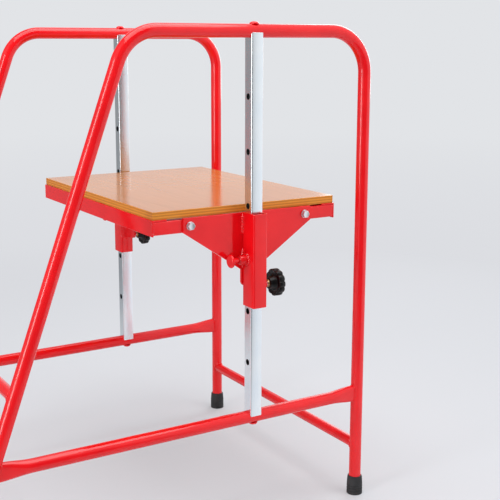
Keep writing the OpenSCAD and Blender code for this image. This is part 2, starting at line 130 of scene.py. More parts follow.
material, sheet = blank("studio_floor")
place = sheet.node("ShaderNodeNewGeometry", out="Position")
distance = sheet.node("ShaderNodeVectorMath", {0: place}, out="Value", operation="LENGTH")
fade = sheet.node("ShaderNodeMapRange", {"Value": distance, "From Min": 0.7, "From Max": 2.6})
seen = sheet.node("ShaderNodeLightPath", out="Is Camera Ray")
mirrored = sheet.node("ShaderNodeLightPath", out="Is Glossy Ray")
near = sheet.node("ShaderNodeMapRange", {"Value": distance, "From Min": 0.4, "From Max": 1.8})
shown = seen * (0.35 + fade * 0.65) + mirrored * near
strength = 1.0 + mirrored * (walls(sheet, place) - 1.0)
lit = sheet.node("ShaderNodeBsdfDiffuse", {"Color": (0.64, 0.65, 0.675, 1)})
far_off = sheet.node("ShaderNodeMapRange", {"Value": distance, "From Min": 2.0, "From Max": 8.5})
pale_floor = sheet.node(
    "ShaderNodeMix",
    {"Factor": far_off, "A": (0.71, 0.72, 0.755, 1), "B": SURROUND},
    out="Result",
    data_type="RGBA",
)
even = sheet.node("ShaderNodeEmission", {"Color": pale_floor, "Strength": strength})
blend = sheet.node("ShaderNodeMixShader", {0: shown, 1: lit, 2: even})
sheet.node("ShaderNodeOutputMaterial", {"Surface": blend})

floor_mesh = bpy.data.meshes.new("studio_floor")
bm = bmesh.new()
bmesh.ops.create_circle(bm, cap_ends=True, segments=96, radius=9)
bm.to_mesh(floor_mesh)
floor_mesh.materials.append(material)
floor = bpy.data.objects.new("studio_floor", floor_mesh)
bpy.context.scene.collection.objects.link(floor)


def lamp(name, place, target, size, watts):
    light = bpy.data.lights.new(name, "AREA")
    light.shape = "RECTANGLE"
    light.size, light.size_y = size
    light.energy = watts
    made = bpy.data.objects.new(name, light)
    made.location = place
    aim = Vector(target) - Vector(place)
    made.rotation_euler = aim.to_track_quat("-Z", "Y").to_euler()
    bpy.context.scene.collection.objects.link(made)
    return made


softbox_right = lamp("softbox_right", (2.3, -2.3, 1.4), (0.1, 0, 0.5), (2.0, 2.0), 30)
softbox_right.visible_glossy = False
lamp("softbox_left", (-2.8, -0.7, 1.2), (0.1, 0, 0.5), (0.8, 2.2), 36)
lamp("softbox_back", (2.6, 1.6, 1.6), (0.1, 0, 0.5), (1.6, 2.0), 30)
lamp("softbox_top", (0.1, -0.4, 3.0), (0.1, 0, 0.5), (2.6, 2.6), 58)

MAST_X = sum(corner.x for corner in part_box("near_mast")) / 2
camera_data = bpy.data.cameras.new("camera")
camera = bpy.data.objects.new("camera", camera_data)
bpy.context.scene.collection.objects.link(camera)
bpy.context.scene.camera = camera
yaw, pitch = math.radians(31.02), math.radians(10.82)
look = Vector((math.sin(yaw) * math.cos(pitch), math.cos(yaw) * math.cos(pitch), -math.sin(pitch)))
camera.location = (MAST_X - 0.96426, -1.83199, 0.93765)
camera.rotation_euler = look.to_track_quat("-Z", "Y").to_euler()
camera_data.sensor_width = 36
camera_data.lens = 70.71
camera_data.shift_x = 0.02774
camera_data.shift_y = -0.03796
camera_data.clip_end = 50
bpy.context.scene.view_settings.view_transform = "Standard"

# The end frames: each leg, bend and top bar is one run of 25 mm round steel tube, dipped
# in thick gloss red powder coat. Coat that thick has a faint orange-peel skin.
END_Y = 0.292
TUBE_R = 12.5 * MM


def red_coat(name, ripple):
    material, sheet = blank(name)
    place = sheet.node("ShaderNodeTexCoord", out="Object")
    patches = sheet.node("ShaderNodeTexNoise", {"Vector": place, "Scale": 14.0, "Detail": 2.0})
    peel = sheet.node("ShaderNodeTexNoise", {"Vector": place, "Scale": 520.0, "Detail": 1.0})
    waves = sheet.node("ShaderNodeTexNoise", {"Vector": place, "Scale": 55.0, "Detail": 1.0})
    dust = sheet.node("ShaderNodeTexNoise", {"Vector": place, "Scale": 900.0, "Detail": 0.0})
    tone = sheet.node(
        "ShaderNodeValToRGB",
        {"Fac": patches},
        stops=[(0.35, (0.78, 0.003, 0.007, 1)), (0.65, (0.86, 0.006, 0.010, 1))],
    )
    speck = (dust > 0.78) * 0.35
    colour = sheet.node(
        "ShaderNodeMix",
        {"Factor": speck, "A": tone, "B": (0.45, 0.01, 0.01, 1)},
        out="Result",
        data_type="RGBA",
    )
    rough = sheet.node(
        "ShaderNodeMapRange", {"Value": waves, "To Min": 0.06, "To Max": 0.12}
    )
    relief = waves * 0.6 + peel * ripple
    bump = sheet.node(
        "ShaderNodeBump", {"Height": relief, "Strength": 0.22, "Distance": 0.0006}
    )
    skin = sheet.node(
        "ShaderNodeBsdfPrincipled",
        {
            "Base Color": colour,
            "Roughness": rough,
            "Normal": bump,
            "Coat Weight": 0.1,
            "Coat Roughness": 0.05,
        },
    )
    sheet.node("ShaderNodeOutputMaterial", {"Surface": skin})
    return material


RED = red_coat("red_powder_coat", 0.12)


def piece(name, bm, material, body, replaced=(), smooth=True, bevel=None):
    """Turns a finished bmesh into a piece that rides on a body."""
    bmesh.ops.recalc_face_normals(bm, faces=bm.faces)
    mesh = bpy.data.meshes.new(name)
    bm.to_mesh(mesh)
    bm.free()
    mesh.materials.append(material)
    made = bpy.data.objects.new(name, mesh)
    bpy.context.scene.collection.objects.link(made)
    if bevel:
        rounding = made.modifiers.new("edges", "BEVEL")
        rounding.width = bevel
        rounding.segments = 3
        rounding.limit_method = "ANGLE"
        rounding.angle_limit = math.radians(35)
        rounding.harden_normals = False
    if smooth:
        mesh.shade_smooth()
        mesh.set_sharp_from_angle(angle=math.radians(32))
    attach(made, body)
    if replaced:
        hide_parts(*replaced)
    return made


def skin_rings(bm, rings, closed=False, caps=True):
    """Quads between successive rings of points, with flat caps or closed on itself."""
    made = [[bm.verts.new(p) for p in ring] for ring in rings]
    pairs = list(zip(made, made[1:]))
    if closed:
        pairs.append((made[-1], made[0]))
    for low, high in pairs:
        for i in range(len(low)):
            j = (i + 1) % len(low)
            bm.faces.new((low[i], low[j], high[j], high[i]))
    if caps and not closed:
        bm.faces.new(reversed(made[0]))
        bm.faces.new(made[-1])


def sweep_tube(bm, path, radius, segments=48):
    """A solid round bar along a path that lies in a plane facing Y, or along Y."""
    rings = []
    for i, point in enumerate(path):
        before = path[max(i - 1, 0)]
        after = path[min(i + 1, len(path) - 1)]
        run = (after - before).normalized()
        across = Vector((0, 1, 0)) if abs(run.y) < 0.5 else Vector((1, 0, 0))
        up = run.cross(across).normalized()
        rings.append(
            [
                point + (across * math.cos(t) + up * math.sin(t)) * radius
                for t in (2 * math.pi * k / segments for k in range(segments))
            ]
        )
    skin_rings(bm, rings)


RAKE = math.radians(20)
TOP_Z, BEND_R = 0.960, 0.080
RIGHT_X, LEFT_TOP_X = MAST_X + 0.255, MAST_X - 0.252
LEG_FOOT_Z = 0.014


def raked_x(height):
    return LEFT_TOP_X - (TOP_Z - height) * math.tan(RAKE)


def hoop_path(y):
    path = [Vector((RIGHT_X, y, LEG_FOOT_Z)), Vector((RIGHT_X, y, 0.4))]
    centre = Vector((RIGHT_X - BEND_R, y, TOP_Z - BEND_R))
    turns = 20
    for k in range(turns + 1):
        t = math.pi / 2 * k / turns
        path.append(centre + Vector((math.cos(t), 0, math.sin(t))) * BEND_R)
    sweep = math.pi / 2 - RAKE
    centre = Vector((LEFT_TOP_X + BEND_R * math.tan(sweep / 2), y, TOP_Z - BEND_R))
    for k in range(turns + 1):
        t = math.pi / 2 + sweep * k / turns
        path.append(centre + Vector((math.cos(t), 0, math.sin(t))) * BEND_R)
    path.append(Vector((raked_x(LEG_FOOT_Z), y, LEG_FOOT_Z)))
    return path


for end, side in (("near", -1), ("far", 1)):
    bm = bmesh.new()
    sweep_tube(bm, hoop_path(side * END_Y), TUBE_R)
    runs = ("right_leg", "right_bend", "top_bar", "left_bend", "left_leg")
    piece(f"{end}_hoop", bm, RED, "stand", [f"{end}_{run}" for run in runs])

# The cross bars: the same tube, with both ends pressed tall and flat in a vice before
# they are welded between the legs, so the weld runs a good way up each leg.
BAR_Z = 0.2235
PRESS_LENGTH = 62 * MM


def flat_ring(x_low, lean, y, height, thickness, segments=48):
    """One cross-section of the bar in the YZ plane, from round to a tall slot shape."""
    ring = []
    reach = height - thickness
    for k in range(segments):
        t = 2 * math.pi * k / segments
        dy = math.cos(t) * thickness
        dz = math.sin(t) * thickness + math.copysign(reach, math.sin(t)) * min(
            1, abs(math.sin(t)) * 6
        )
        ring.append(Vector((x_low - dz * math.tan(lean), y + dy, BAR_Z + dz)))
    return ring


for end, side in (("near", -1), ("far", 1)):
    y = side * END_Y
    left = raked_x(BAR_Z) + (TUBE_R - 2.2 * MM) / math.cos(RAKE)
    right = RIGHT_X - TUBE_R + 2.2 * MM
    rings = []
    for k in range(13):
        press = 1 - k / 12
        ease = press * press * (3 - 2 * press)
        rings.append(
            flat_ring(
                left + PRESS_LENGTH * k / 12,
                -RAKE * press,
                y,
                TUBE_R + 5 * MM * ease,
                TUBE_R - 5.5 * MM * ease,
            )
        )
    for k in range(13):
        press = k / 12
        ease = press * press * (3 - 2 * press)
        rings.append(
            flat_ring(
                right - PRESS_LENGTH * (1 - k / 12),
                0,
                y,
                TUBE_R + 5 * MM * ease,
                TUBE_R - 5.5 * MM * ease,
            )
        )
    bm = bmesh.new()
    skin_rings(bm, rings)
    piece(
        f"{end}_pressed_bar",
        bm,
        RED,
        "stand",
        [f"{end}_cross_bar", f"{end}_bar_ends"],
    )

# The weld beads: a MIG weld laid in overlapping ripples wherever two steel parts meet,
# then coated over with the rest. The coat rounds the ripples off.
WELD_RED = red_coat("coated_weld", 0.3)


def weld_bead(bm, path, radius, closed=False, ripple=2.4 * MM):
    """A rounded ridge along a path, swelling and sinking with each ripple."""
    points = [Vector(p) for p in path]
    if closed:
        points.append(points[0])
    dense = []
    for a, b in zip(points, points[1:]):
        steps = max(1, round((b - a).length / (ripple / 4)))
        dense += [a.lerp(b, k / steps) for k in range(steps)]
    if not closed:
        dense.append(points[-1])
    rings = []
    count = len(dense)
    length = 0.0
    for i, point in enumerate(dense):
        before = dense[i - 1] if closed or i else dense[0]
        after = dense[(i + 1) % count] if closed or i < count - 1 else dense[-1]
        run = (after - before).normalized()
        length += (point - before).length if i else 0
        across = run.orthogonal().normalized()
        if abs(run.x) < 0.9:
            across = run.cross(Vector((1, 0, 0))).normalized()
        up = run.cross(across).normalized()
        swell = radius * (1 + 0.16 * math.cos(2 * math.pi * length / ripple))
        if not closed:
            swell *= min(1, 0.35 + 0.65 * min(i, count - 1 - i) / 4)
        rings.append(
            [
                point + (across * math.cos(t) + up * math.sin(t)) * swell
                for t in (2 * math.pi * k / 10 for k in range(10))
            ]
        )
    skin_rings(bm, rings, closed=closed)


def round_joint(centre, axis, radius, other_axis, other_radius, count=40):
    """Where a tube along axis meets the wall of a tube along other_axis."""
    axis, other = Vector(axis).normalized(), Vector(other_axis).normalized()
    side = axis.cross(other).normalized()
    path = []
    for k in range(count):
        t = 2 * math.pi * k / count
        off = side * math.cos(t) * radius
        lift = other * math.sin(t) * radius
        depth = math.sqrt(max(other_radius**2 - (math.cos(t) * radius) ** 2, 0))
        path.append(Vector(centre) + off + lift + axis * depth)
    return path


for end, side in (("near", -1), ("far", 1)):
    y = side * END_Y
    bm = bmesh.new()
    for face in (-1, 1):
        high = [(RIGHT_X - TUBE_R + 1.6 * MM, y + face * 6.2 * MM, BAR_Z + dz) for dz in (-0.0165, 0.0165)]
        weld_bead(bm, high, 2.2 * MM)
        for_left = [
            (raked_x(BAR_Z + dz) + (TUBE_R - 1.6 * MM) / math.cos(RAKE), y + face * 6.2 * MM, BAR_Z + dz)
            for dz in (-0.0165, 0.0165)
        ]
        weld_bead(bm, for_left, 2.2 * MM)
    piece(f"{end}_bar_welds", bm, WELD_RED, "stand")

# The stretchers and the step rung: lighter 22 mm tube, notched round the legs and welded
# all round. The rung is the first foothold on the raked side.
STRETCHER_R = 11 * MM
for name, x, z in (
    ("right_stretcher", RIGHT_X, 0.110),
    ("left_stretcher", raked_x(0.110), 0.110),
    ("step_rung", raked_x(0.350), 0.350),
):
    bm = bmesh.new()
    inset = END_Y - 8 * MM
    sweep_tube(bm, [Vector((x, -inset, z)), Vector((x, 0, z)), Vector((x, inset, z))], STRETCHER_R)
    piece(name + "_tube", bm, RED, "stand", [name])
    leg_axis = (0, 0, 1) if name == "right_stretcher" else (math.sin(RAKE), 0, math.cos(RAKE))
    bm = bmesh.new()
    for side in (-1, 1):
        centre = (x, side * END_Y, z)
        ring = round_joint(centre, (0, -side, 0), STRETCHER_R + 0.6 * MM, leg_axis, TUBE_R)
        weld_bead(bm, ring, 1.8 * MM, closed=True)
    piece(name + "_welds", bm, WELD_RED, "stand")

# The rubber feet: black moulded cups pushed over the leg ends, each with a thick sole cut
# to sit flat on the floor and three grip rings round its wall.
FOOT_R = 16.5 * MM


def rubber(name, dark=0.012, light=0.035, dull=0.8, shine=0.5, tint=(1, 1, 1.06)):
    material, sheet = blank(name)
    deep, pale = ((*(amount * part for part in tint), 1) for amount in (dark, light))
    place = sheet.node("ShaderNodeTexCoord", out="Object")
    bloom = sheet.node("ShaderNodeTexNoise", {"Vector": place, "Scale": 60.0, "Detail": 4.0})
    grain = sheet.node("ShaderNodeTexNoise", {"Vector": place, "Scale": 1400.0, "Detail": 1.0})
    tone = sheet.node(
        "ShaderNodeValToRGB",
        {"Fac": bloom},
        stops=[(0.3, deep), (0.75, pale)],
    )
    rough = sheet.node(
        "ShaderNodeMapRange", {"Value": bloom, "To Min": dull - 0.22, "To Max": dull}
    )
    bump = sheet.node("ShaderNodeBump", {"Height": grain, "Strength": 0.3, "Distance": 0.0003})
    skin = sheet.node(
        "ShaderNodeBsdfPrincipled",
        {"Base Color": tone, "Roughness": rough, "Normal": bump, "Specular IOR Level": shine},
    )
    sheet.node("ShaderNodeOutputMaterial", {"Surface": skin})
    return material


RUBBER = rubber("black_rubber")


def turned(bm, profile, origin, axis, segments=64):
    """A closed turned shape: profile is (distance along axis, radius) from end to end."""
    axis = Vector(axis).normalized()
    side = axis.orthogonal().normalized()
    up = axis.cross(side)
    rings = [
        [
            Vector(origin) + axis * along + (side * math.cos(t) + up * math.sin(t)) * radius
            for t in (2 * math.pi * k / segments for k in range(segments))
        ]
        for along, radius in profile
    ]
    skin_rings(bm, rings)


FOOT_PROFILE = [(0.0, FOOT_R)]
for groove in (8, 14, 20):
    FOOT_PROFILE += [
        ((groove - 1.4) * MM, FOOT_R),
        ((groove - 0.8) * MM, FOOT_R - 0.9 * MM),
        ((groove + 0.8) * MM, FOOT_R - 0.9 * MM),
        ((groove + 1.4) * MM, FOOT_R),
    ]
FOOT_PROFILE += [(37 * MM, FOOT_R - 1.2 * MM), (39.4 * MM, FOOT_R - 2 * MM), (40 * MM, TUBE_R - 0.5 * MM)]

for end, side in (("near", -1), ("far", 1)):
    y = side * END_Y
    bm = bmesh.new()
    turned(bm, [(0.0, FOOT_R - 1 * MM), (0.4 * MM, FOOT_R)] + FOOT_PROFILE[1:], (RIGHT_X, y, 0), (0, 0, 1))
    piece(f"{end}_right_rubber", bm, RUBBER, "stand", [f"{end}_right_foot"])
    bm = bmesh.new()
    lean = Vector((math.sin(RAKE), 0, math.cos(RAKE)))
    turned(bm, [(-12 * MM, FOOT_R)] + FOOT_PROFILE, (raked_x(0), y, 0), lean)
    cut = bmesh.ops.bisect_plane(
        bm,
        geom=bm.verts[:] + bm.edges[:] + bm.faces[:],
        plane_co=(0, 0, 0),
        plane_no=(0, 0, 1),
        clear_inner=True,
    )
    rim = [e for e in cut["geom_cut"] if isinstance(e, bmesh.types.BMEdge)]
    bmesh.ops.contextual_create(bm, geom=rim)
    piece(f"{end}_left_rubber", bm, RUBBER, "stand", [f"{end}_left_foot"])

# The masts: 25 mm square steel tube with rounded corners, drilled through at an even
# pitch for the lock pins and bright zinc plated, so it mirrors the deck and the frame.
HOLE_R = 6 * MM
PIN_Z = 0.640 - 0.1025
PITCH = 0.1015


def zinc(name, stretch, dark, light, rough_low, rough_high, relief=0.04):
    material, sheet = blank(name)
    place = sheet.node("ShaderNodeTexCoord", out="Object")
    drawn = sheet.node("ShaderNodeMapping", {"Vector": place, "Scale": stretch})
    streak = sheet.node("ShaderNodeTexNoise", {"Vector": drawn, "Scale": 1.0, "Detail": 3.0})
    cloud = sheet.node("ShaderNodeTexNoise", {"Vector": place, "Scale": 22.0, "Detail": 3.0})
    tone = sheet.node(
        "ShaderNodeValToRGB", {"Fac": cloud * 0.6 + streak * 0.4}, stops=[(0.35, dark), (0.65, light)]
    )
    rough = sheet.node(
        "ShaderNodeMapRange", {"Value": streak, "To Min": rough_low, "To Max": rough_high}
    )
    bump = sheet.node("ShaderNodeBump", {"Height": streak, "Strength": relief, "Distance": 0.0004})
    skin = sheet.node(
        "ShaderNodeBsdfPrincipled",
        {"Base Color": tone, "Metallic": 1.0, "Roughness": rough, "Normal": bump},
    )
    sheet.node("ShaderNodeOutputMaterial", {"Surface": skin})
    return material


MAST_ZINC = zinc(
    "bright_zinc_tube", (260, 260, 6), (0.86, 0.93, 0.98, 1), (0.94, 0.98, 1.0, 1), 0.18, 0.27, 0.012
)


# Painted shade: the mast's inner walls get a near-black metal that stands in for the shade inside the tube, so
# the pin holes look dark.
BORE_PAINTED_SHADE = zinc(
    "bore_painted_shade", (90, 90, 20), (0.04, 0.04, 0.042, 1), (0.10, 0.10, 0.10, 1), 0.45, 0.60
)


def oblong_ring(centre, half_x, half_y, corner, z, steps=6):
    """An oblong with rounded corners, seen from above."""
    ring = []
    for cx, cy, start in ((1, 1, 0), (-1, 1, 90), (-1, -1, 180), (1, -1, 270)):
        for k in range(steps + 1):
            t = math.radians(start + 90 * k / steps)
            ring.append(
                Vector(
                    (
                        centre[0] + cx * (half_x - corner) + math.cos(t) * corner,
                        centre[1] + cy * (half_y - corner) + math.sin(t) * corner,
                        z,
                    )
                )
            )
    return ring


def box_tube(bm, centre, half_x, half_y, wall, corner, low, high):
    """An upright oblong tube, open at both ends, its cut ends faintly rounded off."""
    ease = 0.35 * MM
    inside = max(corner - wall, 0.5 * MM)
    outer = [(0, low + ease), (0, high - ease), (-ease, high)]
    inner = [(wall - ease, high), (wall, high - ease), (wall, low + ease), (wall - ease, low)]
    rings = []
    for inset, z in outer + inner + [(-ease, low)]:
        shrink = abs(inset)
        bend = corner if inset <= 0 else inside
        rings.append(oblong_ring(centre, half_x - shrink, half_y - shrink, bend, z))
    skin_rings(bm, rings, closed=True)


def cutter(name, build):
    """A hidden shape that a piece is cut with."""
    bm = bmesh.new()
    build(bm)
    bmesh.ops.recalc_face_normals(bm, faces=bm.faces)
    mesh = bpy.data.meshes.new(name)
    bm.to_mesh(mesh)
    bm.free()
    made = bpy.data.objects.new(name, mesh)
    bpy.context.scene.collection.objects.link(made)
    return made


def cut_with(target, tool):
    """Cuts the tool out of the target for good, then throws the tool away."""
    bite = target.modifiers.new("cut", "BOOLEAN")
    bite.operation = "DIFFERENCE"
    bite.solver = "EXACT"
    bite.object = tool
    bpy.context.view_layer.update()
    graph = bpy.context.evaluated_depsgraph_get()
    cut = bpy.data.meshes.new_from_object(target.evaluated_get(graph))
    target.modifiers.clear()
    target.data = cut
    bpy.data.objects.remove(tool)
    cut.shade_smooth()
    cut.set_sharp_from_angle(angle=math.radians(32))


for end, side in (("near", -1), ("far", 1)):
    y = side * END_Y
    bm = bmesh.new()
    half = 12.5 * MM
    box_tube(bm, (MAST_X, y), half, half, 1.5 * MM, 2.2 * MM, BAR_Z + 3 * MM, TOP_Z - 3 * MM)
    mast = piece(f"{end}_drilled_mast", bm, MAST_ZINC, "stand", [f"{end}_mast"])

    def holes(bm):
        for step in range(-2, 4):
            turned(bm, [(-30 * MM, HOLE_R), (30 * MM, HOLE_R)], (MAST_X, y, PIN_Z + step * PITCH), (1, 0, 0), 40)
        for z in (BAR_Z, TOP_Z):
            turned(bm, [(-30 * MM, TUBE_R), (30 * MM, TUBE_R)], (MAST_X, y, z), (1, 0, 0), 64)

    cut_with(mast, cutter("mast_holes", holes))
    # The faces inside the tube take the near-black painted shade.
    mast.data.materials.append(BORE_PAINTED_SHADE)
    for face in mast.data.polygons:
        off = face.center - Vector((MAST_X, y, 0))
        if max(abs(off.x), abs(off.y)) < 11.5 * MM:
            face.material_index = 1

# The mast bolts: dome-headed, one up through the cross bar and one down through the top
# bar into threaded plugs, sprayed red with the frame.
for end, side in (("near", -1), ("far", 1)):
    y = side * END_Y
    bm = bmesh.new()
    dome = [(0.0, 9 * MM), (1.0 * MM, 8.9 * MM)]
    dome += [
        ((1.0 + 4.0 * math.sin(t)) * MM, 8.9 * MM * math.cos(t))
        for t in (math.pi / 2 * k / 10 for k in range(1, 10))
    ]
    dome.append((5.0 * MM, 0.4 * MM))
    turned(bm, dome, (MAST_X, y, BAR_Z - TUBE_R + 0.4 * MM), (0, 0, -1), 48)
    turned(bm, dome, (MAST_X, y, TOP_Z + TUBE_R - 0.4 * MM), (0, 0, 1), 48)
    piece(f"{end}_dome_bolts", bm, RED, "stand", [f"{end}_mast_bolts"])
    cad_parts[f"{end}_mast_plugs"].data.materials.clear()
    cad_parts[f"{end}_mast_plugs"].data.materials.append(MAST_ZINC)

# The deck: 15 mm birch plywood with clear gloss film on both faces. Its sawn edges show
# the plies, and are sealed with the same varnish.
DECK_TOP = 0.640
DECK_UNDER = 0.625
PLY = 2.5 * MM


def plywood(name):
    material, sheet = blank(name)
    place = sheet.node("ShaderNodeTexCoord", out="Object")
    facing = sheet.node("ShaderNodeNewGeometry", out="Normal")
    upward = sheet.node("ShaderNodeSeparateXYZ", {"Vector": facing}, out="Z")
    on_face = sheet.maths("ABSOLUTE", upward) > 0.6
    grain_place = sheet.node("ShaderNodeMapping", {"Vector": place, "Scale": (55, 3.2, 55)})
    grain = sheet.node(
        "ShaderNodeTexNoise",
        {"Vector": grain_place, "Scale": 1.0, "Detail": 5.0, "Roughness": 0.62, "Distortion": 0.5},
    )
    pores_place = sheet.node("ShaderNodeMapping", {"Vector": place, "Scale": (900, 45, 900)})
    pores = sheet.node("ShaderNodeTexNoise", {"Vector": pores_place, "Scale": 1.0, "Detail": 2.0})
    face = sheet.node(
        "ShaderNodeValToRGB",
        {"Fac": grain},
        stops=[
            (0.25, (0.47, 0.170, 0.034, 1)),
            (0.5, (0.51, 0.185, 0.040, 1)),
            (0.75, (0.56, 0.205, 0.050, 1)),
        ],
    )
    height = sheet.node("ShaderNodeSeparateXYZ", {"Vector": place}, out="Z")
    wander = sheet.node("ShaderNodeTexNoise", {"Vector": place, "Scale": 9.0, "Detail": 2.0})
    layer = (height - DECK_UNDER) * (1 / (2 * PLY)) + wander * 0.12
    fraction = sheet.maths("FRACT", layer)
    band = sheet.node(
        "ShaderNodeMapRange",
        {"Value": sheet.maths("ABSOLUTE", fraction - 0.5), "From Min": 0.16, "From Max": 0.34},
    )
    fibre_place = sheet.node("ShaderNodeMapping", {"Vector": place, "Scale": (700, 700, 90)})
    fibre = sheet.node("ShaderNodeTexNoise", {"Vector": fibre_place, "Scale": 1.0, "Detail": 3.0})
    plies = sheet.node(
        "ShaderNodeMix",
        {"Factor": band, "A": (0.56, 0.190, 0.016, 1), "B": (0.80, 0.30, 0.028, 1)},
        out="Result",
        data_type="RGBA",
    )
    edge = sheet.node(
        "ShaderNodeMix",
        {"Factor": fibre * 0.22, "A": plies, "B": (0.40, 0.120, 0.012, 1)},
        out="Result",
        data_type="RGBA",
    )
    colour = sheet.node(
        "ShaderNodeMix", {"Factor": on_face, "A": edge, "B": face}, out="Result", data_type="RGBA"
    )
    haze = sheet.node("ShaderNodeTexNoise", {"Vector": place, "Scale": 30.0, "Detail": 3.0})
    rough = (1 - on_face) * 0.26 + 0.11 + haze * 0.10
    relief = grain * 0.3 + pores * 0.3 * on_face + fibre * 0.5 * (1 - on_face)
    bump = sheet.node("ShaderNodeBump", {"Height": relief, "Strength": 0.05, "Distance": 0.0005})
    skin = sheet.node(
        "ShaderNodeBsdfPrincipled",
        {
            "Base Color": colour,
            "Roughness": rough,
            "Normal": bump,
            "Specular IOR Level": 0.42,
        },
    )
    sheet.node("ShaderNodeOutputMaterial", {"Surface": skin})
    return material


def block(bm, low, high):
    corners = [Vector((x, y, z)) for z in (low[2], high[2]) for x, y in ((low[0], low[1]), (high[0], low[1]), (high[0], high[1]), (low[0], high[1]))]
    skin_rings(bm, [corners[:4], corners[4:]])


bm = bmesh.new()
block(bm, (MAST_X - 0.200, -0.270, DECK_UNDER), (MAST_X + 0.200, 0.270, DECK_TOP))
piece("plywood_deck", bm, plywood("filmed_plywood"), "platform", ["deck"], bevel=0.8 * MM)

# The deck frame: two 30 mm steel angles along the sides, with a square tube rail welded
# between them at each end. The rails' corners are rolled, the angles' are sharp.
PROUD_X, PROUD_Y = 0.202, 0.272
RAIL_TOP = 0.622
for name, hand in (("left_side_angle", -1), ("right_side_angle", 1)):
    bm = bmesh.new()
    section = [(202, 0), (202, -30), (199, -30), (199, -3), (172, -3), (172, 0)]
    rings = [
        [Vector((MAST_X + hand * x * MM, y, DECK_UNDER + z * MM)) for x, z in section]
        for y in (-PROUD_Y, PROUD_Y)
    ]
    skin_rings(bm, rings)
    piece(name + "_bar", bm, RED, "platform", [name], bevel=0.7 * MM)


def lying_ring(x, centre_y, centre_z, half, corner, steps=6):
    """A square with rounded corners, seen along X."""
    return [
        Vector((x, centre_y + p.x, centre_z + p.y))
        for p in oblong_ring((0, 0), half, half, corner, 0, steps)
    ]


for end, side in (("near", -1), ("far", 1)):
    bm = bmesh.new()
    centre = side * (PROUD_Y - 12.5 * MM)
    spans = (MAST_X - 0.199, MAST_X + 0.199)
    rings = [lying_ring(x, centre, RAIL_TOP - 12.5 * MM, 12.5 * MM, 2.5 * MM) for x in spans]
    skin_rings(bm, rings)
    piece(f"{end}_end_rail_tube", bm, RED, "platform", [f"{end}_end_rail"])
    bm = bmesh.new()
    for hand in (-1, 1):
        x = MAST_X + hand * 199 * MM
        face = side * (PROUD_Y - 0.6 * MM)
        weld_bead(bm, [(x, face, RAIL_TOP - 1 * MM), (x, face, RAIL_TOP - 24 * MM)], 1.6 * MM)
        under = RAIL_TOP - 25 * MM
        weld_bead(bm, [(x, side * 0.250, under), (x, side * 0.270, under)], 1.8 * MM)
    piece(f"{end}_rail_welds", bm, WELD_RED, "platform")

# The deck screws: round-headed zinc screws driven up through the angles into the plywood.
SCREW_ZINC = zinc(
    "zinc_fastener", (300, 300, 300), (0.80, 0.83, 0.86, 1), (0.93, 0.95, 0.98, 1), 0.26, 0.40
)
bm = bmesh.new()
for hand in (-1, 1):
    for row in (-1, 0, 1):
        origin = (MAST_X + hand * 0.185, row * 0.540 / 2.7, RAIL_TOP)
        head = [(-10 * MM, 2.4 * MM), (0, 2.4 * MM), (0.0, 5 * MM), (0.9 * MM, 4.9 * MM)]
        head += [(2.0 * MM, 4.3 * MM), (2.7 * MM, 3.0 * MM), (3.0 * MM, 1.8 * MM), (1.8 * MM, 1.6 * MM)]
        turned(bm, head, origin, (0, 0, -1), 32)
piece("round_head_screws", bm, SCREW_ZINC, "platform", ["deck_screws"])

# The gussets: 5 mm plate, sheared to a shallow triangle with a rounded tail, bolted to
# the end rail and welded down both sides of the sleeve.
for end, side in (("near", -1), ("far", 1)):
    outline = [(141, -15), (141, -42.5), (17.7, -124.7)]
    tail, low, radius = 17.7, -158.0, 10.0
    for k in range(10):
        t = math.pi / 2 * k / 9
        outline.append((tail - radius + radius * math.cos(t), low + radius - radius * math.sin(t)))
    outline += [(-x, z) for x, z in reversed(outline)]
    bm = bmesh.new()
    rings = [
        [Vector((MAST_X + x * MM, side * y, DECK_TOP + z * MM)) for x, z in outline]
        for y in (0.272, 0.277)
    ]
    skin_rings(bm, rings)
    piece(f"{end}_gusset_plate", bm, RED, "platform", [f"{end}_gusset"], bevel=0.6 * MM)

# The sleeves: 40 x 30 mm tube with rolled corners that rides on the mast, welded to the
# gusset down both of its back corners.
SLEEVE_HALF = 15 * MM
SLEEVE_DEPTH = 40 * MM
PLATE_Y = 0.277
SLEEVE_LOW, SLEEVE_HIGH = 0.446, 0.626
CLAMP_Z = 0.640 - 0.1545
for end, side in (("near", -1), ("far", 1)):
    y = side * END_Y
    bm = bmesh.new()
    centre = (MAST_X, side * (PLATE_Y + SLEEVE_DEPTH / 2))
    box_tube(bm, centre, SLEEVE_HALF, SLEEVE_DEPTH / 2, 2 * MM, 3 * MM, SLEEVE_LOW, SLEEVE_HIGH)
    sleeve = piece(f"{end}_sleeve_tube", bm, RED, "platform", [f"{end}_sleeve"])

    def bores(bm):
        turned(bm, [(0.0, 5.3 * MM), (30 * MM, 5.3 * MM)], (MAST_X, y, PIN_Z), (-1, 0, 0), 40)
        turned(bm, [(0.0, 5.3 * MM), (30 * MM, 5.3 * MM)], (MAST_X, y, CLAMP_Z), (1, 0, 0), 40)

    cut_with(sleeve, cutter("sleeve_bores", bores))
    bm = bmesh.new()
    plate = side * (PLATE_Y + 0.4 * MM)
    for hand in (-1, 1):
        x = MAST_X + hand * SLEEVE_HALF
        for top, bottom in ((-17, -56), (-84, -122)):
            run = [(x, plate, DECK_TOP + top * MM), (x, plate, DECK_TOP + bottom * MM)]
            weld_bead(bm, run, 3.8 * MM, ripple=5.2 * MM)
    piece(f"{end}_sleeve_welds", bm, WELD_RED, "platform")

# The gusset bolts: M8 hexagon bolts in bright zinc, with a washer face under each head
# and a nut on the inside of the end rail.
BOLT_Z = DECK_TOP - 0.030


